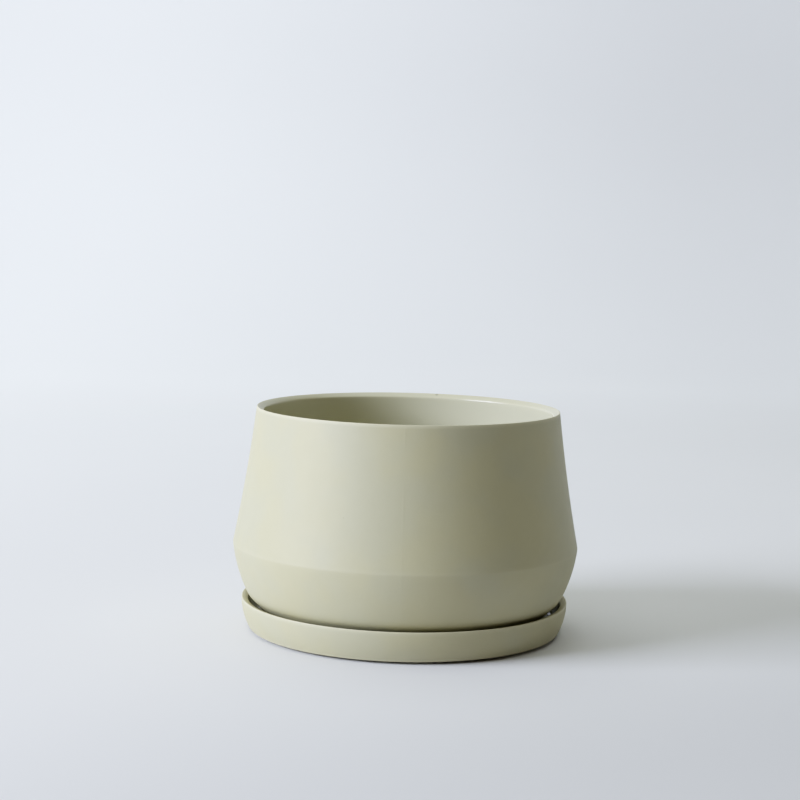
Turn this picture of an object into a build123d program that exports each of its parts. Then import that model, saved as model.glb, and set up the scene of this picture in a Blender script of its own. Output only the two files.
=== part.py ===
"""Round glazed pot for a small bonsai, standing in its own saucer.

All sizes are in millimetres. +Z is up and the origin lies on the table, under the
middle of the pot. Profiles are drawn on the XZ plane as (radius, height) and revolved.
"""

from build123d import *
from math import atan2, cos, floor, radians, sin
import os

os.makedirs("parts", exist_ok=True)

# ---- driving dimensions: pot -------------------------------------------------------
rim_r = 87.6  # outer edge of the rim
shoulder_r = 100.2  # the crease round the widest part
knee_r = 91.0  # where the lower wall turns in under the pot
waist_r = 77.0  # top of the foot ring
foot_r = 76.2  # the foot ring where it stands
pot_h = 123.85  # foot to rim edge
shoulder_h = 44.8  # foot to crease
knee_h = 14.5
waist_h = 2.8
upper_hollow = 0.8  # how far the upper wall bows in from a straight cone
lower_swell = 1.5  # how far the lower wall bows out
under_swell = 0.5  # the same, below the knee
wall = 4.4
base_t = 5.0  # thickness of the pot's floor
bevel_w = 4.2  # rim bevel, across
bevel_d = 2.4  # rim bevel, down
foot_w = 7.5  # width of the foot ring
foot_recess = 3.0  # hollow under the floor, inside the foot ring
weep_w = 16.0  # notches that let water out under the foot
weep_h = 1.8
drain_r = 11.0

# ---- driving dimensions: saucer -----------------------------------------------------
dish_rim_r = 94.8
dish_base_r = 90.4
dish_h = 17.4  # underside to rim edge
dish_swell = 1.2
dish_wall = 4.1
dish_floor = 4.5
dish_bevel_w = 3.8
dish_bevel_d = 1.1

# ---- driving dimensions: stick-on pads, drain screen and its wire clip ----------------
pad_r = 4.5
pad_t = 1.5
pad_count = 4
pad_ring_r = 74.0
mesh_pitch = 4.8
mesh_bar = 1.2
mesh_t = 1.2
wire_r = 0.6
wire_bend = 1.5  # to the middle of the wire
clip_foot = 10.0  # how far each leg is bent out under the floor
wire_gap = 0.1  # clearance of the wire from what it passes

# ---- edge rounding ------------------------------------------------------------------
lip_round = 0.5
inner_lip_round = 1.8
crease_round = 3.6
knee_round = 12.0
corner_round = 9.0  # inside, where wall meets floor
foot_round = 1.0
drain_round = 1.0

# ---- heights worked out from the sizes above ------------------------------------------
seat_z = pad_t + dish_floor  # the saucer's floor, where the pot stands
rim_z = seat_z + pot_h
shoulder_z = seat_z + shoulder_h
knee_z = seat_z + knee_h
waist_z = seat_z + waist_h
under_z = seat_z + foot_recess  # underside of the pot's floor
floor_z = under_z + base_t  # where the soil would lie
dish_rim_z = pad_t + dish_h

# ---- pot: one slip-cast shell, whose inside follows the outside one wall away -----------
lower_lean = atan2(shoulder_r - knee_r, shoulder_z - knee_z)
under_lean = atan2(knee_r - waist_r, knee_z - waist_z)
knee_lean = (lower_lean + under_lean) / 2
inner_knee = (knee_r - wall * cos(knee_lean), knee_z + wall * sin(knee_lean))
inner_floor_r = inner_knee[0] - (inner_knee[1] - floor_z) * sin(under_lean) / cos(under_lean)
inner_rim = (rim_r - bevel_w, rim_z - bevel_d)
inner_shoulder = (shoulder_r - wall, shoulder_z)

with BuildPart() as pot:
    with BuildSketch(Plane.XZ) as pot_profile:
        with BuildLine():
            Polyline((0, seat_z), (foot_r, seat_z), (waist_r, waist_z))
            SagittaArc((waist_r, waist_z), (knee_r, knee_z), -under_swell)
            SagittaArc((knee_r, knee_z), (shoulder_r, shoulder_z), -lower_swell)
            SagittaArc((shoulder_r, shoulder_z), (rim_r, rim_z), upper_hollow)
            Line((rim_r, rim_z), inner_rim)
            SagittaArc(inner_rim, inner_shoulder, -upper_hollow)
            SagittaArc(inner_shoulder, inner_knee, lower_swell)
            Polyline(inner_knee, (inner_floor_r, floor_z), (0, floor_z), (0, seat_z))
        make_face()
        for corner, rounding in (
            ((foot_r, seat_z), foot_round),
            ((knee_r, knee_z), knee_round),
            ((shoulder_r, shoulder_z), crease_round),
            ((rim_r, rim_z), lip_round),
            (inner_rim, inner_lip_round),
            (inner_shoulder, wall),
            (inner_knee, knee_round),
            ((inner_floor_r, floor_z), corner_round),
        ):
            fillet(pot_profile.vertices().sort_by_distance(corner)[0], radius=rounding)
    revolve(axis=Axis.Z)

    # the hollow inside the foot ring, and the notches through the ring
    with BuildSketch(Plane.XY.offset(seat_z)):
        Circle(foot_r - foot_w)
    extrude(amount=foot_recess, mode=Mode.SUBTRACT)
    for across in (Plane.XZ, Plane.YZ):
        with BuildSketch(across) as weep:
            with Locations((0, seat_z)):
                Rectangle(weep_w, weep_h, align=(Align.CENTER, Align.MIN))
            fillet(weep.vertices().group_by(Axis.Y)[-1], radius=weep_h / 2)
        extrude(amount=shoulder_r, both=True, mode=Mode.SUBTRACT)

    with BuildSketch(Plane.XY.offset(seat_z)):
        Circle(drain_r)
    extrude(amount=foot_recess + base_t, mode=Mode.SUBTRACT)
    drain_edges = pot.edges().filter_by(GeomType.CIRCLE).filter_by(lambda e: abs(e.radius - drain_r) < 0.01)
    fillet(drain_edges, radius=drain_round)

pot.part.label = "pot"
export_step(pot.part, "parts/pot.step")

# ---- saucer -----------------------------------------------------------------------------
dish_inner_rim = (dish_rim_r - dish_bevel_w, dish_rim_z - dish_bevel_d)
dish_lean = atan2(dish_rim_r - dish_base_r, dish_h)
dish_corner_r = dish_base_r + dish_floor * sin(dish_lean) / cos(dish_lean) - dish_wall

with BuildPart() as saucer:
    with BuildSketch(Plane.XZ) as dish_profile:
        with BuildLine():
            Line((0, pad_t), (dish_base_r, pad_t))
            SagittaArc((dish_base_r, pad_t), (dish_rim_r, dish_rim_z), -dish_swell)
            Line((dish_rim_r, dish_rim_z), dish_inner_rim)
            SagittaArc(dish_inner_rim, (dish_corner_r, seat_z), dish_swell / 2)
            Polyline((dish_corner_r, seat_z), (0, seat_z), (0, pad_t))
        make_face()
        for corner, rounding in (
            ((dish_base_r, pad_t), lip_round),
            ((dish_rim_r, dish_rim_z), lip_round),
            (dish_inner_rim, inner_lip_round),
            ((dish_corner_r, seat_z), dish_floor),
        ):
            fillet(dish_profile.vertices().sort_by_distance(corner)[0], radius=rounding)
    revolve(axis=Axis.Z)

saucer.part.label = "saucer"
export_step(saucer.part, "parts/saucer.step")

# ---- clear pads under the saucer ----------------------------------------------------------
for number in range(pad_count):
    turn = 360 / pad_count * (number + 0.5)
    pad_x = pad_ring_r * cos(radians(turn))
    pad_y = pad_ring_r * sin(radians(turn))
    with BuildPart() as pad:
        with BuildSketch(Plane.XY):
            with Locations((pad_x, pad_y)):
                Circle(pad_r)
        extrude(amount=pad_t)
        fillet(pad.edges().group_by(Axis.Z)[0], radius=pad_t / 4)
    pad.part.label = f"saucer_pad_{number + 1}"
    export_step(pad.part, f"parts/saucer_pad_{number + 1}.step")

# ---- drain screen: a square of plastic mesh over the hole -----------------------------------
mesh_reach = floor(drain_r / mesh_pitch)  # whole cells from the middle to the hole's edge
mesh_cells = 2 * mesh_reach + 3  # one more cell all round
mesh_side = mesh_cells * mesh_pitch + mesh_bar
mesh_top = floor_z + mesh_t

with BuildPart() as drain_screen:
    with BuildSketch(Plane.XY.offset(floor_z)):
        Rectangle(mesh_side, mesh_side)
        with GridLocations(mesh_pitch, mesh_pitch, mesh_cells, mesh_cells):
            Rectangle(mesh_pitch - mesh_bar, mesh_pitch - mesh_bar, mode=Mode.SUBTRACT)
    extrude(amount=mesh_t)

drain_screen.part.label = "drain_screen"
export_step(drain_screen.part, "parts/drain_screen.step")

# ---- screen clip: a wire staple, legs down the hole and bent out under the floor ---------------
leg_x = mesh_pitch * floor((drain_r - wire_r - wire_gap) / mesh_pitch)  # down the middle of a cell
clip_top = mesh_top + wire_r + wire_gap
clip_under = under_z - wire_r - wire_gap
clip_end = max(leg_x, drain_r) + clip_foot

with BuildPart() as screen_clip:
    with BuildLine(Plane.XZ) as clip_path:
        FilletPolyline(
            (-clip_end, clip_under),
            (-leg_x, clip_under),
            (-leg_x, clip_top),
            (leg_x, clip_top),
            (leg_x, clip_under),
            (clip_end, clip_under),
            radius=wire_bend,
        )
    with BuildSketch(Plane(origin=(-clip_end, 0, clip_under), z_dir=(1, 0, 0))):
        Circle(wire_r)
    sweep(path=clip_path.wires()[0])

screen_clip.part.label = "screen_clip"
export_step(screen_clip.part, "parts/screen_clip.step")
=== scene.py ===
import random
from math import atan2, cos, hypot, pi, radians, sin, tan

import bpy
from mathutils import Matrix, Vector


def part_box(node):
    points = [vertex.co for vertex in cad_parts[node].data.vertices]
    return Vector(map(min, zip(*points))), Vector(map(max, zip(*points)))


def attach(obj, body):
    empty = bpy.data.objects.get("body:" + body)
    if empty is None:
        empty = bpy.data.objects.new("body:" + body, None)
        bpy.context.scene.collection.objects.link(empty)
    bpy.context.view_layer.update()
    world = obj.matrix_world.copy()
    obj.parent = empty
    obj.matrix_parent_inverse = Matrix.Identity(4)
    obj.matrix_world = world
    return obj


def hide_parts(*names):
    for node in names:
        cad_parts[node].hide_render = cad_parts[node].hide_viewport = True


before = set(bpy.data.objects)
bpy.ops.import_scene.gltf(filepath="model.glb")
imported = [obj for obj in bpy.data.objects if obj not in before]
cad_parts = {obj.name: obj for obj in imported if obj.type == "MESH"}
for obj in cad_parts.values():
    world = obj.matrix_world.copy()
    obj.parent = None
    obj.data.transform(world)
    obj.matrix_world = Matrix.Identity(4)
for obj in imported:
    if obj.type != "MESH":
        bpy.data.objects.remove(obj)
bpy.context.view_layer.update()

mm = 0.001
scene = bpy.context.scene


class Signal:
    # wraps one output socket, so that maths on it reads as maths
    def __init__(self, wiring, socket):
        self.wiring = wiring
        self.socket = socket

    def maths(self, operation, *values):
        return self.wiring.add("ShaderNodeMath", {"operation": operation}, dict(enumerate(values)))

    def __add__(self, other):
        return self.maths("ADD", self, other)

    def __radd__(self, other):
        return self.maths("ADD", other, self)

    def __sub__(self, other):
        return self.maths("SUBTRACT", self, other)

    def __rsub__(self, other):
        return self.maths("SUBTRACT", other, self)

    def __mul__(self, other):
        return self.maths("MULTIPLY", self, other)

    def __rmul__(self, other):
        return self.maths("MULTIPLY", other, self)

    def __truediv__(self, other):
        return self.maths("DIVIDE", self, other)

    def __rtruediv__(self, other):
        return self.maths("DIVIDE", other, self)

    def __abs__(self):
        return self.maths("ABSOLUTE", self)

    def least(self, other):
        return self.maths("MINIMUM", self, other)

    def most(self, other):
        return self.maths("MAXIMUM", self, other)

    def smooth(self, low, high):
        # 0 below low, 1 above high, eased between
        sockets = {"Value": self, "From Min": low, "From Max": high}
        return self.wiring.add("ShaderNodeMapRange", {"interpolation_type": "SMOOTHSTEP"}, sockets)


class Wiring:
    # adds nodes to one node tree
    def __init__(self, tree):
        self.tree = tree
        tree.nodes.clear()

    def add(self, kind, settings=None, inputs=None, output=0):
        # settings go on before the sockets are fed; the answer is one of the node's outputs
        node = self.tree.nodes.new(kind)
        for key, value in (settings or {}).items():
            setattr(node, key, value)
        for key, value in (inputs or {}).items():
            self.feed(node.inputs[key], value)
        return Signal(self, node.outputs[output])

    def feed(self, socket, value):
        if isinstance(value, Signal):
            self.tree.links.new(value.socket, socket)
        elif socket.type == "RGBA" and len(value) == 3:
            socket.default_value = (*value, 1)
        else:
            socket.default_value = value

    def finishWith(self, kind, result):
        # the output node that ends the tree
        self.feed(self.tree.nodes.new(kind).inputs["Surface"], result)


class Finish(Wiring):
    # one procedural material
    def __init__(self, name):
        self.material = bpy.data.materials.new(name)
        self.material.use_nodes = True
        super().__init__(self.material.node_tree)
        self.shader = self.tree.nodes.new("ShaderNodeBsdfPrincipled")
        self.finishWith("ShaderNodeOutputMaterial", Signal(self, self.shader.outputs["BSDF"]))
        self.place = self.add("ShaderNodeTexCoord", output="Object")

    def noise(self, size, detail=2.0, roughness=0.5, place=None):
        # size is the width of one blotch in metres
        sockets = {"Vector": place or self.place, "Scale": 1 / size}
        sockets.update({"Detail": detail, "Roughness": roughness})
        return self.add("ShaderNodeTexNoise", {}, sockets)

    def mix(self, share, first, second):
        # colours only: share 0 gives first, 1 gives second; sockets 0, 6 and 7 are the ones for colours
        return self.add("ShaderNodeMix", {"data_type": "RGBA"}, {0: share, 6: first, 7: second}, 2)

    def vector(self, operation, *values, output=0):
        return self.add("ShaderNodeVectorMath", {"operation": operation}, dict(enumerate(values)), output)

    def painted(self, name):
        # a value stored on the mesh when it was made
        return self.add("ShaderNodeAttribute", {"attribute_name": name}, output="Fac")

    def bump(self, height, depth, below=None):
        sockets = {"Height": height, "Distance": depth, "Strength": 1.0}
        if below:
            sockets["Normal"] = below
        return self.add("ShaderNodeBump", {}, sockets)

    def set(self, **sockets):
        for name, value in sockets.items():
            self.feed(self.shader.inputs[name.replace("_", " ")], value)
        return self.material


def bowed(start, end, bow, steps):
    # points on the arc from start to end that leaves its chord by bow, to the left of travel
    (x0, y0), (x1, y1) = start, end
    length = hypot(x1 - x0, y1 - y0)
    alongX, alongY = (x1 - x0) / length, (y1 - y0) / length
    points = []
    for step in range(steps + 1):
        share = step / steps
        run, lift = length * share, 4 * bow * share * (1 - share)
        points.append((x0 + alongX * run - alongY * lift, y0 + alongY * run + alongX * lift))
    return points


def shortened(path, amount, atEnd):
    # the same path with amount of its length taken off one end
    points = list(path)[::-1] if atEnd else list(path)
    while len(points) > 2 and hypot(points[1][0] - points[0][0], points[1][1] - points[0][1]) < amount:
        amount -= hypot(points[1][0] - points[0][0], points[1][1] - points[0][1])
        points.pop(0)
    (x0, y0), (x1, y1) = points[:2]
    share = amount / hypot(x1 - x0, y1 - y0)
    points[0] = (x0 + (x1 - x0) * share, y0 + (y1 - y0) * share)
    return points[::-1] if atEnd else points


outlineSteps = {"span": 64, "corner": 12}      # points along one bowed span, and round one corner


def outlineOf(corners):
    # corners are (radius, height, rounding, bow to the next corner, mark up to the next corner)
    spans = []
    for here, after in zip(corners, corners[1:]):
        spans.append(bowed(here[:2], after[:2], here[3], outlineSteps["span"]))
    cuts = [0]
    for index in range(1, len(corners) - 1):
        before, after = spans[index - 1], spans[index]
        turnIn = atan2(before[-1][1] - before[-2][1], before[-1][0] - before[-2][0])
        turnOut = atan2(after[1][1] - after[0][1], after[1][0] - after[0][0])
        turn = abs((turnOut - turnIn + pi) % (2 * pi) - pi)
        cuts.append(corners[index][2] * tan(turn / 2))
    cuts.append(0)
    points, marks = [], []
    for index, span in enumerate(spans):
        kept = shortened(shortened(span, cuts[index], False), cuts[index + 1], True)
        points += kept
        marks += [corners[index][4]] * len(kept)
        if index + 1 < len(spans) and cuts[index + 1] > 0:
            corner = corners[index + 1]
            (x0, y0), (x2, y2) = kept[-1], shortened(spans[index + 1], cuts[index + 1], False)[0]
            x1, y1 = corner[:2]
            for step in range(1, outlineSteps["corner"]):
                share = step / outlineSteps["corner"]
                a, b, c = (1 - share) ** 2, 2 * share * (1 - share), share ** 2
                points.append((a * x0 + b * x1 + c * x2, a * y0 + b * y1 + c * y2))
                marks.append(corners[index if share < 0.5 else index + 1][4])
    return points, marks


def spacedOut(points, marks, gap, fineGap, sharpTurn=radians(7)):
    # points a gap apart along the outline, or a fineGap where it has turned by sharpTurn
    def turnAt(index):
        (xa, ya), (xb, yb), (xc, yc) = points[index - 1], points[index], points[index + 1]
        turn = atan2(yc - yb, xc - xb) - atan2(yb - ya, xb - xa)
        return abs((turn + pi) % (2 * pi) - pi)

    kept, keptMarks = [points[0]], [marks[0]]
    travelled, turned = 0.0, 0.0
    for index in range(1, len(points) - 1):
        (xa, ya), (xb, yb) = points[index - 1], points[index]
        travelled += hypot(xb - xa, yb - ya)
        turned += turnAt(index)
        if travelled >= gap or (turned > sharpTurn and travelled >= fineGap):
            kept.append(points[index])
            keptMarks.append(marks[index])
            travelled, turned = 0.0, 0.0
    return kept + [points[-1]], keptMarks + [marks[-1]]


def meshObject(name, vertices, faces):
    mesh = bpy.data.meshes.new(name)
    mesh.from_pydata(vertices, [], faces)
    mesh.validate()
    mesh.polygons.foreach_set("use_smooth", [True] * len(mesh.polygons))
    mesh.update()
    piece = bpy.data.objects.new(name, mesh)
    scene.collection.objects.link(piece)
    return piece


def turned(name, outline, marks, segments, worked):
    # turns an outline round the Z axis
    # worked(radius, height, angle) gives the finished radius and height
    onAxis = 0.001 * mm
    vertices, values, rings = [], [], []
    for (radius, height), mark in zip(outline, marks):
        if radius < onAxis:
            rings.append([len(vertices)])
            vertices.append((0, 0, height))
            values.append(mark)
            continue
        rings.append(list(range(len(vertices), len(vertices) + segments)))
        for segment in range(segments):
            angle = 2 * pi * segment / segments
            r, z = worked(radius, height, angle)
            vertices.append((r * cos(angle), r * sin(angle), z))
            values.append(mark)
    faces = []
    for lower, upper in zip(rings, rings[1:]):
        for segment in range(segments):
            after = (segment + 1) % segments
            if len(lower) == 1:
                faces.append((lower[0], upper[after], upper[segment]))
            elif len(upper) == 1:
                faces.append((lower[segment], lower[after], upper[0]))
            else:
                faces.append((lower[segment], lower[after], upper[after], upper[segment]))
    if len(rings[0]) > 1 and len(rings[-1]) > 1:
        for segment in range(segments):
            after = (segment + 1) % segments
            faces.append((rings[-1][segment], rings[-1][after], rings[0][after], rings[0][segment]))
    piece = meshObject(name, vertices, faces)
    store = piece.data.attributes.new("surface", "FLOAT", "POINT")
    store.data.foreach_set("value", values)
    return piece


def handWaver(seed, size):
    # a slow unevenness round the piece, as a mould and a wet sponge leave it
    # each wave has its order round the piece, its share, where it starts and how it climbs
    dice = random.Random(seed)
    waves = [(order, dice.uniform(0.3, 1.0) / order, dice.uniform(0, 2 * pi), dice.uniform(10, 40))
             for order in (2, 3, 4, 5, 7)]
    return lambda angle, height: size * sum(
        share * sin(order * angle + start + climb * height) for order, share, start, climb in waves)


camera = {
    "distance": 1.0549,    # along the floor, from the pot's axis
    "height": 0.2429,
    "lens": 82.34,         # millimetres
    "sensor": 36.0,
    "down": 5.90,          # degrees, as the next two
    "right": -0.275,
    "lean": 1.352,
}


def placeCamera(c):
    data = bpy.data.cameras.new("camera")
    data.lens = c["lens"]
    data.sensor_width = c["sensor"]
    piece = bpy.data.objects.new("camera", data)
    scene.collection.objects.link(piece)
    down, turn, lean = radians(c["down"]), radians(c["right"]), radians(c["lean"])
    ahead = Vector((sin(turn) * cos(down), cos(turn) * cos(down), -sin(down)))
    side = Vector((cos(turn), -sin(turn), 0))
    top = side.cross(ahead)
    tiltedSide = side * cos(lean) + top * sin(lean)
    tiltedTop = top * cos(lean) - side * sin(lean)
    turnMatrix = Matrix((tiltedSide, tiltedTop, -ahead)).transposed()
    piece.matrix_world = Matrix.Translation((0, -c["distance"], c["height"])) @ turnMatrix.to_4x4()
    scene.camera = piece


placeCamera(camera)
print("camera placed")


light = {
    "keyFrom": 68.5,        # degrees to the left of the viewer
    "keyUp": 22,            # degrees above the table
    "keyAway": 2.4,
    "keyAim": 0.06,         # the height it points at
    "keySize": (1.3, 1.15),
    "keyWatts": 61.5,
    "keyColour": (0.763, 0.820, 1.0),
    "topUp": 2.2,           # soft light overhead, a little behind the pot
    "topBack": 0.2,
    "topSize": (2.6, 2.6),
    "topWatts": 19.6,
    "topColour": (0.93, 1.0, 0.96),
    "fill": 0.035,          # what the rest of the room gives
    "fillColour": (1.0, 0.72, 0.45),
    "behind": (0.31, 0.34, 0.38),    # seen past the edge of the paper
}


def hangLamp(name, size, watts, colour, place, aim):
    lamp = bpy.data.lights.new(name, "AREA")
    lamp.shape = "RECTANGLE"
    lamp.size, lamp.size_y = size
    lamp.energy = watts
    lamp.color = colour
    piece = bpy.data.objects.new(name, lamp)
    scene.collection.objects.link(piece)
    piece.location = place
    piece.rotation_euler = (place - aim).to_track_quat("Z", "Y").to_euler()
    piece.visible_camera = False


def lightScene(setup):
    middle = Vector((0, 0, setup["keyAim"]))
    turn, up = radians(setup["keyFrom"]), radians(setup["keyUp"])
    towards = Vector((-sin(turn) * cos(up), -cos(turn) * cos(up), sin(up)))
    window = middle + towards * setup["keyAway"]
    hangLamp("window", setup["keySize"], setup["keyWatts"], setup["keyColour"], window, middle)
    below = Vector((0, setup["topBack"], 0))
    ceiling = below + Vector((0, 0, setup["topUp"]))
    hangLamp("ceiling", setup["topSize"], setup["topWatts"], setup["topColour"], ceiling, below)

    world = bpy.data.worlds.new("room")
    scene.world = world
    world.use_nodes = True
    room = Wiring(world.node_tree)
    fill = room.add("ShaderNodeBackground", {}, {"Color": setup["fillColour"], "Strength": setup["fill"]})
    behind = room.add("ShaderNodeBackground", {}, {"Color": setup["behind"]})
    seen = room.add("ShaderNodeLightPath", output="Is Camera Ray")
    both = room.add("ShaderNodeMixShader", {}, {0: seen, 1: fill, 2: behind})
    room.finishWith("ShaderNodeOutputWorld", both)


# the camera's response: steep in the shadows, easing off towards white
film = {"toe": 1.227, "shoulder": 0.589, "steps": 14}


def developFilm(f):
    view = scene.view_settings
    view.view_transform = "Standard"
    view.look = "None"
    view.use_curve_mapping = True
    together = view.curve_mapping.curves[3]      # red, green and blue alike
    for step in range(1, f["steps"]):
        light = (step / f["steps"]) ** 2
        raised = light ** f["toe"]
        together.points.new(light, raised * (1 + f["shoulder"]) / (raised + f["shoulder"]))
    view.curve_mapping.update()


lightScene(light)
developFilm(film)
print("light set")


paper = {
    "near": -9.0, "back": 1.7,       # flat from near to back, then it bends up to top
    "bend": 0.9, "bendSteps": 24,
    "top": 2.2, "half": 9.0,
    "colour": (0.80, 0.80, 0.80),
    "roughness": 0.9, "specular": 0.2,
    "cloud": 0.4,                    # width of its faint clouding
    "cloudShade": 0.985,
    "front": 0.82,                   # painted shade: how much of its colour is left at the front right
    "frontShadeSlant": 0.8,
    "frontShadeSpan": (0.0, 0.42),
    "glow": 0.350,                   # painted light: the paper's own glow, how far the wall behind outshines the floor
    "glowColour": (0.80, 0.89, 1.0),
    "glowLead": 0.05,                # it starts this far in front of the pot's axis
    "glowRun": 1.55,                 # and grows over this length
    "glowRight": 0.36,               # what is left of it away from the window
    "glowSpan": (-0.7, 0.6),
    "rightSpan": (-0.4, 0.4),        # where the side away from the window begins
    "footGlow": 0.16,                # a little more at the foot of the wall, on that side
    "footSpan": (0.9, 1.8),
    "footTop": 0.5,
    "dimHigh": 0.15,                 # a little less high up
    "dimSpared": 0.75,               # but hardly on that side
    "dimSpan": (0.2, 0.65),
    "farGlow": 2.1,                  # painted light: far out the floor glows and fades into the room
    "farFront": (-3.0, -0.6),
    "farSide": (0.9, 3.0),
}


def layPaper(p):
    run = [(p["near"], 0.0), (0.0, 0.0), (p["back"], 0.0)]
    for step in range(1, p["bendSteps"] + 1):
        angle = pi / 2 * step / p["bendSteps"]
        run.append((p["back"] + p["bend"] * sin(angle), p["bend"] * (1 - cos(angle))))
    run.append((p["back"] + p["bend"], p["top"]))
    vertices = [(side, y, z) for y, z in run for side in (-p["half"], p["half"])]
    faces = [(2 * i, 2 * i + 1, 2 * i + 3, 2 * i + 2) for i in range(len(run) - 1)]
    sheet = meshObject("studio_paper", vertices, faces)
    finish = Finish("studio paper")
    across, away, up = [finish.add("ShaderNodeSeparateXYZ", {}, {0: finish.place}, axis) for axis in "XYZ"]

    cloud = finish.noise(p["cloud"], detail=3).smooth(0.3, 0.7)
    colour = finish.mix(cloud, p["colour"], [v * p["cloudShade"] for v in p["colour"]])
    # painted shade: the floor's colour darkens towards the front right
    front = (p["frontShadeSlant"] * across - away).smooth(*p["frontShadeSpan"])
    colour = finish.mix(front, colour, [v * p["front"] for v in p["colour"]])

    # painted light: the paper glows by its own emission, graded by where it lies, most on the wall behind
    share = ((away + p["glowLead"]) / p["glowRun"]).most(0).least(1)
    share = share * (1 - (1 - p["glowRight"]) * across.smooth(*p["glowSpan"]))
    right = across.smooth(*p["rightSpan"])
    share = share + right * away.smooth(*p["footSpan"]) * (1 - up.smooth(0, p["footTop"])) * p["footGlow"]
    share = share - (1 - p["dimSpared"] * right) * up.smooth(*p["dimSpan"]) * p["dimHigh"]
    far = (1 - away.smooth(*p["farFront"])).most(abs(across).smooth(*p["farSide"]))
    share = share + far * p["farGlow"]
    finish.set(Base_Color=colour, Emission_Color=finish.mix(share, (0, 0, 0), p["glowColour"]),
               Emission_Strength=p["glow"], Roughness=p["roughness"], Specular_IOR_Level=p["specular"])
    sheet.data.materials.append(finish.material)


layPaper(paper)
print("studio floor laid")


# kinds of surface, stored on the mesh for the glaze to follow: the edges are partly glossy
outerGlaze, satinEdge, glossyEdge, innerGlaze, bareClay = 0, 0.4, 0.6, 1, 2

glaze = {
    "body": (0.505, 0.474, 0.302),      # pale sage over a buff clay
    "inner": (0.617, 0.597, 0.434),     # the same glaze, glossy, and lighter in part as painted light for the brighter inside
    "thinAndHighlight": (0.630, 0.590, 0.405),      # where the glaze breaks on an edge, and a painted highlight line along it
    "cool": (0.492, 0.470, 0.315),
    "warm": (0.518, 0.479, 0.289),
    # iron specks, also used as the painted shade in a pinhole
    "speck": (0.16, 0.145, 0.10),
    "clay": (0.62, 0.55, 0.44),         # the bare foot
    "innerSpan": (0.45, 0.75),          # from the outer glaze to the inner
    "innerEnd": (1.3, 1.6),
    "claySpan": (1.4, 1.6),             # from glaze to bare clay
    "ragged": 2.2 * mm,                 # how finely that line wanders
    "raggedShare": 0.5,
    "cloud": 38 * mm,                   # cool and warm patches
    "bodyShare": 0.35,
    "mottle": 9 * mm,
    "mottleShade": 0.7,
    "mottleShare": 0.05,
    "thinAndHighlightReach": 1.3 * mm,              # how far from an edge the glaze is thin and the highlight is painted
    "thinAndHighlightGain": 1.7,
    "thinAndHighlightShare": 0.8,
    "cell": 5.5 * mm,                   # at most one iron speck in each cell this wide
    "speckSpan": (0.02, 0.05),
    "speckPick": (0.86, 0.88),
    "speckShare": 0.5,
    "speckDepth": 0.05 * mm,
    "pinholeSpan": (0.5 * mm, 1.3 * mm),
    "pinholeRagged": 1.2 * mm,
    "grit": 0.6 * mm,                   # grains of the clay
    "gritShade": 0.8,
    "gritGain": 2.0,
    "skin": 1.6 * mm,                   # the glaze's fine texture, weaker inside
    "skinSpared": 0.6,
    "skinDepth": 0.03 * mm,
    "roughOutside": 0.56,
    "roughVary": 0.10,
    "glossVary": 0.05,
    "roughClay": 0.85,
    "seamWidth": 1.1 * mm,
    "seamRise": 0.028 * mm,
    "seamWorn": 24 * mm,                # length of the stretches where it is sponged away
    "ior": 1.5,
}


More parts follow.
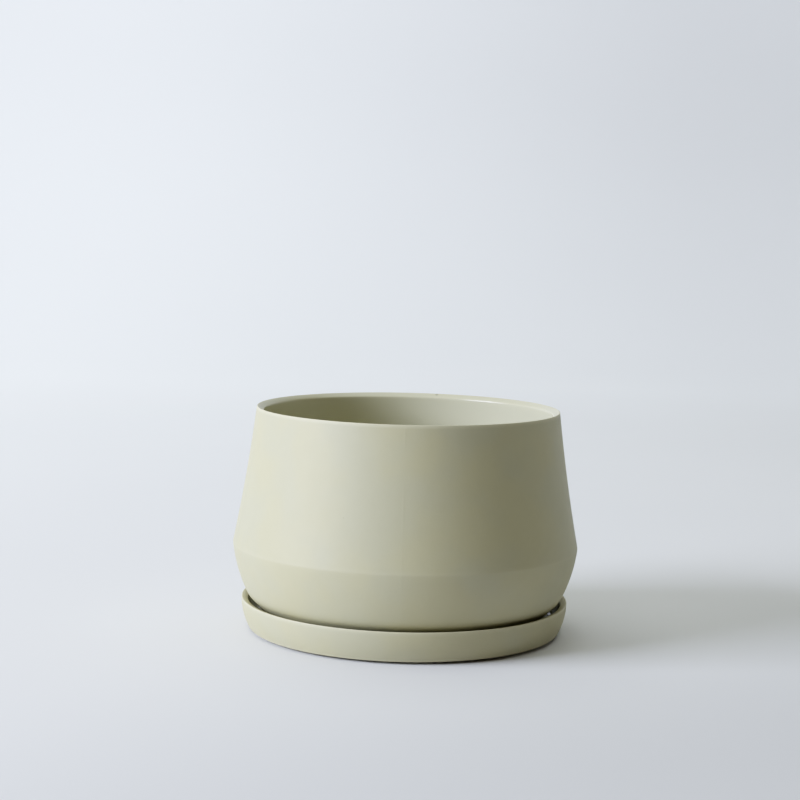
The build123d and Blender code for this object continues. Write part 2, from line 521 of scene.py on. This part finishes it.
def glazeFinish(name, g, gloss, seamAt=None, pinhole=None, pooled=None):
    # gloss is the roughness inside; seamAt, pinhole and pooled are only for a piece that has them
    f = Finish(name)
    kind = f.painted("surface")
    ragged = f.noise(g["ragged"], detail=3) - 0.5
    inside = kind.smooth(*g["innerSpan"]) * (1 - kind.smooth(*g["innerEnd"]))
    bare = (kind + ragged * g["raggedShare"]).smooth(*g["claySpan"])
    edge = f.painted("edge")

    cloud = f.noise(g["cloud"], detail=2)
    mottle = f.noise(g["mottle"], detail=4, roughness=0.6)
    darker = [v * g["mottleShade"] for v in g["body"]]
    colour = f.mix(cloud.smooth(0.35, 0.65), g["cool"], g["warm"])
    colour = f.mix(g["bodyShare"], colour, g["body"])
    colour = f.mix(mottle.smooth(0.3, 0.7) * g["mottleShare"], colour, darker)
    # partly painted light: the inside takes a lighter colour to match the brightness it shows
    colour = f.mix(inside, colour, g["inner"])
    # thin glaze on the edges, lighter, and partly a painted highlight line along the rims
    thinAndHighlight = (edge * g["thinAndHighlightGain"] * (0.5 + mottle)).least(1.0)
    colour = f.mix(thinAndHighlight * g["thinAndHighlightShare"], colour, g["thinAndHighlight"])

    cells = {"Vector": f.place, "Scale": 1 / g["cell"], "Randomness": 1.0}
    cellGap = f.add("ShaderNodeTexVoronoi", {"feature": "F1"}, cells, "Distance")
    cellPick = f.add("ShaderNodeSeparateColor", {}, {0: f.add("ShaderNodeTexVoronoi", {}, cells, "Color")})
    specksAndPitShade = (1 - cellGap.smooth(*g["speckSpan"])) * cellPick.smooth(*g["speckPick"])
    # painted shade: the pinhole's pit is painted dark in the speck colour, over a shallow dent
    if pinhole:
        gap = f.vector("DISTANCE", f.place, pinhole, output="Value")
        specksAndPitShade = specksAndPitShade.most(1 - (gap + ragged * g["pinholeRagged"]).smooth(*g["pinholeSpan"]))
    colour = f.mix(specksAndPitShade * (1 - bare) * g["speckShare"], colour, g["speck"])

    grit = f.noise(g["grit"], detail=3, roughness=0.7)
    clay = f.mix(grit.smooth(0.35, 0.75), g["clay"], [v * g["gritShade"] for v in g["clay"]])
    colour = f.mix(bare, colour, clay)

    satin = g["roughOutside"] + g["roughVary"] * (mottle - 0.5)
    glossy = gloss + g["glossVary"] * (mottle - 0.5)
    rough = satin * (1 - inside) + glossy * inside
    rough = rough * (1 - bare) + g["roughClay"] * bare

    skin = f.noise(g["skin"], detail=2) * (1 - bare) * (1 - g["skinSpared"] * inside)
    skin = skin + (grit * bare) * g["gritGain"]
    relief = f.bump(skin, g["skinDepth"])
    relief = f.bump(0 - specksAndPitShade, g["speckDepth"], relief)
    if pooled:
        # the glossy glaze has run and lies in slow ripples
        relief = f.bump(f.noise(pooled[0], detail=1) * inside, pooled[1], relief)
    if seamAt is not None:
        # where the halves of the mould met, sponged nearly flat, on both sides of the pot
        facing = f.vector("DOT_PRODUCT", f.place, (-sin(seamAt), cos(seamAt), 0), output="Value")
        ridge = 1 - abs(facing).smooth(0, g["seamWidth"])
        worn = f.noise(g["seamWorn"], detail=2).smooth(0.35, 0.6)
        relief = f.bump(ridge * worn * (1 - inside) * (1 - bare), g["seamRise"], relief)
    return f.set(Base_Color=colour, Roughness=rough, Normal=relief, IOR=g["ior"])


def markEdges(piece, outlineEdges, reach):
    # how thin the glaze has run, which also paints a highlight line: most on an edge of the outline,
    # nothing past reach
    values = []
    for vertex in piece.data.vertices:
        radius = hypot(vertex.co.x, vertex.co.y)
        values.append(max(share * max(0.0, 1 - hypot(radius - r, vertex.co.z - z) / reach)
                          for r, z, share in outlineEdges))
    store = piece.data.attributes.new("edge", "FLOAT", "POINT")
    store.data.foreach_set("value", values)


potLow, potHigh = [Vector(corner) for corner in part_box("pot")]

pot = {
    "rim": 87.6 * mm, "shoulder": potHigh.x, "knee": 91.0 * mm, "waist": 77.0 * mm, "foot": 76.2 * mm,
    "seat": potLow.z, "top": potHigh.z + 0.31 * mm,
    "shoulderUp": 44.8 * mm, "kneeUp": 14.5 * mm, "waistUp": 2.8 * mm,
    "hollow": 0.8 * mm, "swell": 1.5 * mm, "underSwell": 0.5 * mm,
    "wall": 4.4 * mm, "base": 5.0 * mm, "recess": 3.0 * mm, "footWidth": 7.5 * mm,
    "bevelAcross": 4.2 * mm, "bevelDown": 2.4 * mm, "drain": 11.0 * mm,
    "weepWidth": 16 * mm, "weepUp": 1.8 * mm, "weepSlope": 3 * mm, "weeps": 4,
    "waver": 0.10 * mm, "waverSeed": 11, "waverRun": 20 * mm,       # it grows over this height
    "gloss": 0.2, "seamAt": radians(-90.9), "pinhole": (17.5 * mm, 84.6 * mm, potHigh.z - 0.6 * mm),
    "segments": 440, "gap": 1.9 * mm, "fineGap": 0.12 * mm,
}


def makePot(p):
    seat, top, wall = p["seat"], p["top"], p["wall"]
    shoulderZ, kneeZ, waistZ = seat + p["shoulderUp"], seat + p["kneeUp"], seat + p["waistUp"]
    under, ground = seat + p["recess"], seat + p["recess"] + p["base"]
    lean = atan2(p["shoulder"] - p["knee"], shoulderZ - kneeZ)
    underLean = atan2(p["knee"] - p["waist"], kneeZ - waistZ)
    middle = (lean + underLean) / 2
    innerKnee = (p["knee"] - wall * cos(middle), kneeZ + wall * sin(middle))
    innerRim = (p["rim"] - p["bevelAcross"], top - p["bevelDown"])
    groundR = innerKnee[0] - (innerKnee[1] - ground) * tan(underLean)
    ringR = p["foot"] - p["footWidth"]
    # radius, height, rounding, bow to the next, kind of surface up to the next
    corners = [
        (p["drain"], under, 1.0 * mm, 0, bareClay),
        (ringR, under, 1.2 * mm, 0, bareClay),
        (ringR + 0.4 * mm, seat, 1.2 * mm, 0, bareClay),
        (p["foot"], seat, 1.0 * mm, 0, bareClay),
        (p["waist"], waistZ, 0.8 * mm, -p["underSwell"], outerGlaze),
        (p["knee"], kneeZ, 12 * mm, -p["swell"], outerGlaze),
        (p["shoulder"] + 0.1 * mm, shoulderZ, 3.6 * mm, p["hollow"], outerGlaze),
        (p["rim"], top, 0.5 * mm, 0, glossyEdge),
        (*innerRim, 1.6 * mm, -p["hollow"], innerGlaze),
        (p["shoulder"] - wall, shoulderZ, 5 * mm, p["swell"], innerGlaze),
        (*innerKnee, 12 * mm, 0, innerGlaze),
        (groundR, ground, 9 * mm, 0, innerGlaze),
        (p["drain"], ground, 1.0 * mm, 0, innerGlaze),
        (p["drain"], under, 1.0 * mm, 0, bareClay),
    ]
    outline, marks = outlineOf(corners)
    outline, marks = spacedOut(outline, marks, p["gap"], p["fineGap"])
    waver = handWaver(p["waverSeed"], p["waver"])

    def worked(radius, height, angle):
        # the foot stays true so that it stands flat, and the weep notches lift its underside
        free = min(1.0, max(0.0, (height - under) / p["waverRun"]))
        radius += waver(angle, height) * free if radius > 2 * p["drain"] else 0
        if height < under and radius > ringR - 0.5 * mm:
            step = 2 * pi / p["weeps"]
            off = abs((angle + step / 2) % step - step / 2) * radius
            past = (off - p["weepWidth"] / 2 + p["weepSlope"] / 2) / p["weepSlope"]
            lift = p["weepUp"] * (1 - min(1.0, max(0.0, past)))
            height = max(height, min(under, seat + lift))
        return radius, height

    piece = turned("pot_shell", outline, marks, p["segments"], worked)
    # radius, height and how thin the glaze is there, with its painted highlight line
    edges = [(p["rim"], top, 1), (*innerRim, 0.5),
             (p["shoulder"], shoulderZ, 0.12), (p["waist"], waistZ, 0.6)]
    markEdges(piece, edges, glaze["thinAndHighlightReach"])
    finish = glazeFinish("pot glaze", glaze, p["gloss"], p["seamAt"], Vector(p["pinhole"]))
    piece.data.materials.append(finish)
    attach(piece, "pot_body")
    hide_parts("pot")
    return piece


potShell = makePot(pot)
print("pot turned:", len(potShell.data.polygons), "faces")


dishLow, dishHigh = [Vector(corner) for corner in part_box("saucer")]

dish = {
    "rim": dishHigh.x, "base": 90.4 * mm, "bottom": dishLow.z, "top": dishHigh.z + 0.16 * mm,
    "swell": 1.2 * mm, "wall": 4.1 * mm, "floor": potLow.z,
    "bevelAcross": 3.8 * mm, "bevelDown": 1.1 * mm,
    "waver": 0.08 * mm, "waverSeed": 23, "waverRun": 8 * mm,        # from its floor up
    "gloss": 0.08, "pooled": (9 * mm, 0.45 * mm),                   # width and height of its ripples
    "segments": 480, "gap": 1.5 * mm, "fineGap": 0.12 * mm,
}


def makeSaucer(d):
    lean = atan2(d["rim"] - d["base"], d["top"] - d["bottom"])
    cornerR = d["base"] + (d["floor"] - d["bottom"]) * tan(lean) - d["wall"]
    innerRim = (d["rim"] - d["bevelAcross"], d["top"] - d["bevelDown"])
    corners = [
        (0, d["bottom"], 0, 0, outerGlaze),
        (d["base"], d["bottom"], 0.7 * mm, -d["swell"], outerGlaze),
        (d["rim"], d["top"], 0.5 * mm, 0, satinEdge),
        (*innerRim, 1.6 * mm, d["swell"] / 2, innerGlaze),
        (cornerR, d["floor"], 4.5 * mm, 0, innerGlaze),
        (0, d["floor"], 0, 0, innerGlaze),
    ]
    outline, marks = outlineOf(corners)
    outline, marks = spacedOut(outline, marks, d["gap"], d["fineGap"])
    waver = handWaver(d["waverSeed"], d["waver"])

    def worked(radius, height, angle):
        free = min(1.0, max(0.0, (height - d["floor"]) / d["waverRun"]))
        return radius + waver(angle, height) * free, height

    piece = turned("saucer_dish", outline, marks, d["segments"], worked)
    # radius, height and how thin the glaze is there, with its painted highlight line
    edges = [(d["rim"], d["top"], 1), (*innerRim, 0.5), (d["base"], d["bottom"], 0.6)]
    markEdges(piece, edges, glaze["thinAndHighlightReach"])
    piece.data.materials.append(glazeFinish("saucer glaze", glaze, d["gloss"], pooled=d["pooled"]))
    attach(piece, "saucer_body")
    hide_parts("saucer")
    return piece


saucerDish = makeSaucer(dish)
print("saucer turned:", len(saucerDish.data.polygons), "faces")


screenLow, screenHigh = [Vector(corner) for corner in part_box("drain_screen")]

screen = {
    "pitch": 4.8 * mm, "bar": 1.2 * mm, "soft": 0.28 * mm, "softSteps": 3,
    "colour": (0.030, 0.034, 0.030), "dust": (0.10, 0.10, 0.085),
    "cloud": 7 * mm, "dustShare": 0.5,
    "grain": 0.5 * mm, "grainDepth": 0.02 * mm,
    "rough": 0.42, "roughVary": 0.18,
}


def plasticFinish(s):
    f = Finish("mesh plastic")
    cloud = f.noise(s["cloud"], detail=2)
    colour = f.mix(cloud.smooth(0.4, 0.75) * s["dustShare"], s["colour"], s["dust"])
    rough = s["rough"] + s["roughVary"] * (cloud - 0.5)
    relief = f.bump(f.noise(s["grain"], detail=3), s["grainDepth"])
    return f.set(Base_Color=colour, Roughness=rough, Normal=relief)


def settle(piece):
    # applies the modifiers for good
    made = bpy.data.meshes.new_from_object(piece.evaluated_get(bpy.context.evaluated_depsgraph_get()))
    piece.modifiers.clear()
    piece.data = made
    made.polygons.foreach_set("use_smooth", [True] * len(made.polygons))


def makeScreen(s):
    # a square of moulded mesh, its bars crossing on one level
    low, high = screenLow, screenHigh
    side, bar, pitch = high.x - low.x, s["bar"], s["pitch"]
    cells = round((side - bar) / pitch)
    lines = []
    for index in range(cells + 1):
        start = low.x + index * pitch
        lines += [start, start + bar]
    count = len(lines)
    vertices, faces = [], []
    for z in (low.z, high.z):
        vertices += [(x, y, z) for y in lines for x in lines]

    def spot(column, row, level):
        return level * count * count + row * count + column

    def filled(column, row):
        return 0 <= column < count - 1 and 0 <= row < count - 1 and (column % 2 == 0 or row % 2 == 0)

    for row in range(count - 1):
        for column in range(count - 1):
            if not filled(column, row):
                continue
            a, b = (column, row), (column + 1, row)
            c, d = (column + 1, row + 1), (column, row + 1)
            faces.append([spot(*corner, 1) for corner in (a, b, c, d)])
            faces.append([spot(*corner, 0) for corner in (d, c, b, a)])
            for first, second, beyond in ((a, b, (column, row - 1)), (b, c, (column + 1, row)),
                                          (c, d, (column, row + 1)), (d, a, (column - 1, row))):
                if not filled(*beyond):
                    faces.append([spot(*first, 0), spot(*second, 0), spot(*second, 1), spot(*first, 1)])
    piece = meshObject("drain_mesh", vertices, faces)
    soften = piece.modifiers.new("soften", "BEVEL")
    soften.width, soften.segments, soften.limit_method = s["soft"], s["softSteps"], "ANGLE"
    settle(piece)
    piece.data.materials.append(plasticFinish(s))
    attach(piece, "pot_body")
    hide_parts("drain_screen")


makeScreen(screen)
print("drain screen made")


clipLow, clipHigh = [Vector(corner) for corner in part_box("screen_clip")]

clip = {
    "wire": 0.6 * mm, "leg": 9.6 * mm, "bend": 1.6 * mm, "sides": 20, "turns": 10,
    "nose": ((0.55, 0.95), (0.85, 0.72), (1.0, 0.35)),      # snipped ends, rounded off a little
    "colour": (0.56, 0.55, 0.53), "dull": (0.33, 0.32, 0.31),
    "stain": 3 * mm, "stainShare": 0.8,
    "drawn": (40, 900, 900), "drawnDepth": 0.01 * mm,       # streaks along the wire
    "rough": 0.28, "roughVary": 0.3,
}


def wireFinish(c):
    f = Finish("clip wire")
    streak = f.noise(1.0, detail=2, place=f.vector("MULTIPLY", f.place, c["drawn"]))
    stain = f.noise(c["stain"], detail=3)
    colour = f.mix(stain.smooth(0.45, 0.8) * c["stainShare"], c["colour"], c["dull"])
    rough = c["rough"] + c["roughVary"] * stain
    return f.set(Base_Color=colour, Roughness=rough, Metallic=1.0, Normal=f.bump(streak, c["drawnDepth"]))


def wireRoute(corners, bend, turns):
    # straight runs joined by arcs in the XZ plane
    points = [corners[0]]
    for before, corner, after in zip(corners, corners[1:], corners[2:]):
        first = (before - corner).normalized()
        last = (after - corner).normalized()
        centre = corner + (first + last) * bend
        for step in range(turns + 1):
            angle = pi / 2 * step / turns
            points.append(centre - last * bend * cos(angle) - first * bend * sin(angle))
    points.append(corners[-1])
    return points


def makeClip(c):
    r = c["wire"]
    top, under = clipHigh.z - r, clipLow.z + r
    corners = [Vector(place) for place in (
        (clipLow.x + r, 0, under), (-c["leg"], 0, under), (-c["leg"], 0, top),
        (c["leg"], 0, top), (c["leg"], 0, under), (clipHigh.x - r, 0, under))]
    route = wireRoute(corners, c["bend"], c["turns"])
    sides = c["sides"]
    across = Vector((0, 1, 0))
    rings = []
    for index, point in enumerate(route):
        along = (route[min(index + 1, len(route) - 1)] - route[max(index - 1, 0)]).normalized()
        rings.append((point, along, r))
    first, last = rings[0], rings[-1]
    front = [(first[0] - first[1] * r * reach, first[1], r * width) for reach, width in reversed(c["nose"])]
    back = [(last[0] + last[1] * r * reach, last[1], r * width) for reach, width in c["nose"]]
    rings = front + rings + back
    vertices, faces = [], []
    for point, along, radius in rings:
        up = along.cross(across)
        for step in range(sides):
            angle = 2 * pi * step / sides
            vertices.append(point + across * radius * cos(angle) + up * radius * sin(angle))
    for ring in range(len(rings) - 1):
        for step in range(sides):
            after = (step + 1) % sides
            faces.append((ring * sides + step, ring * sides + after,
                          (ring + 1) * sides + after, (ring + 1) * sides + step))
    faces.append(list(range(sides))[::-1])
    faces.append([(len(rings) - 1) * sides + step for step in range(sides)])
    piece = meshObject("clip_wire", vertices, faces)
    piece.data.materials.append(wireFinish(c))
    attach(piece, "pot_body")
    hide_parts("screen_clip")


makeClip(clip)
print("clip bent")


pads = {
    "count": 4, "edge": 0.5 * mm, "widest": 0.45,      # share of the height
    "segments": 48, "gap": 0.6 * mm, "fineGap": 0.05 * mm,
    "colour": (0.80, 0.82, 0.80), "haze": 2 * mm, "hazeShade": 0.92, "hazeDepth": 0.02 * mm,
    "rough": 0.22, "roughVary": 0.12, "ior": 1.41, "clear": 0.55,
}


def siliconeFinish(p):
    f = Finish("clear silicone")
    haze = f.noise(p["haze"], detail=3)
    colour = f.mix(haze.smooth(0.4, 0.7), p["colour"], [v * p["hazeShade"] for v in p["colour"]])
    rough = p["rough"] + p["roughVary"] * haze
    return f.set(Base_Color=colour, Roughness=rough, Normal=f.bump(haze, p["hazeDepth"]),
                 IOR=p["ior"], Transmission_Weight=p["clear"])


def makePad(number, finish):
    node = f"saucer_pad_{number}"
    low, high = [Vector(corner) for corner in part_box(node)]
    radius, tall, edge = (high.x - low.x) / 2, high.z - low.z, pads["edge"]
    corners = [
        (0, low.z, 0, 0, 0),
        (radius - edge, low.z, 0.3 * mm, 0, 0),
        (radius, low.z + tall * pads["widest"], 0.6 * mm, 0, 0),
        (radius, high.z, 0.1 * mm, 0, 0),
        (0, high.z, 0, 0, 0),
    ]
    outline, marks = outlineOf(corners)
    outline, marks = spacedOut(outline, marks, pads["gap"], pads["fineGap"])
    piece = turned(f"pad_{number}", outline, marks, pads["segments"], lambda r, z, angle: (r, z))
    middle = Vector(((low.x + high.x) / 2, (low.y + high.y) / 2, 0))
    piece.data.transform(Matrix.Translation(middle))
    piece.data.materials.append(finish)
    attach(piece, "saucer_body")
    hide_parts(node)


silicone = siliconeFinish(pads)
for number in range(1, pads["count"] + 1):
    makePad(number, silicone)
print("pads stuck on")
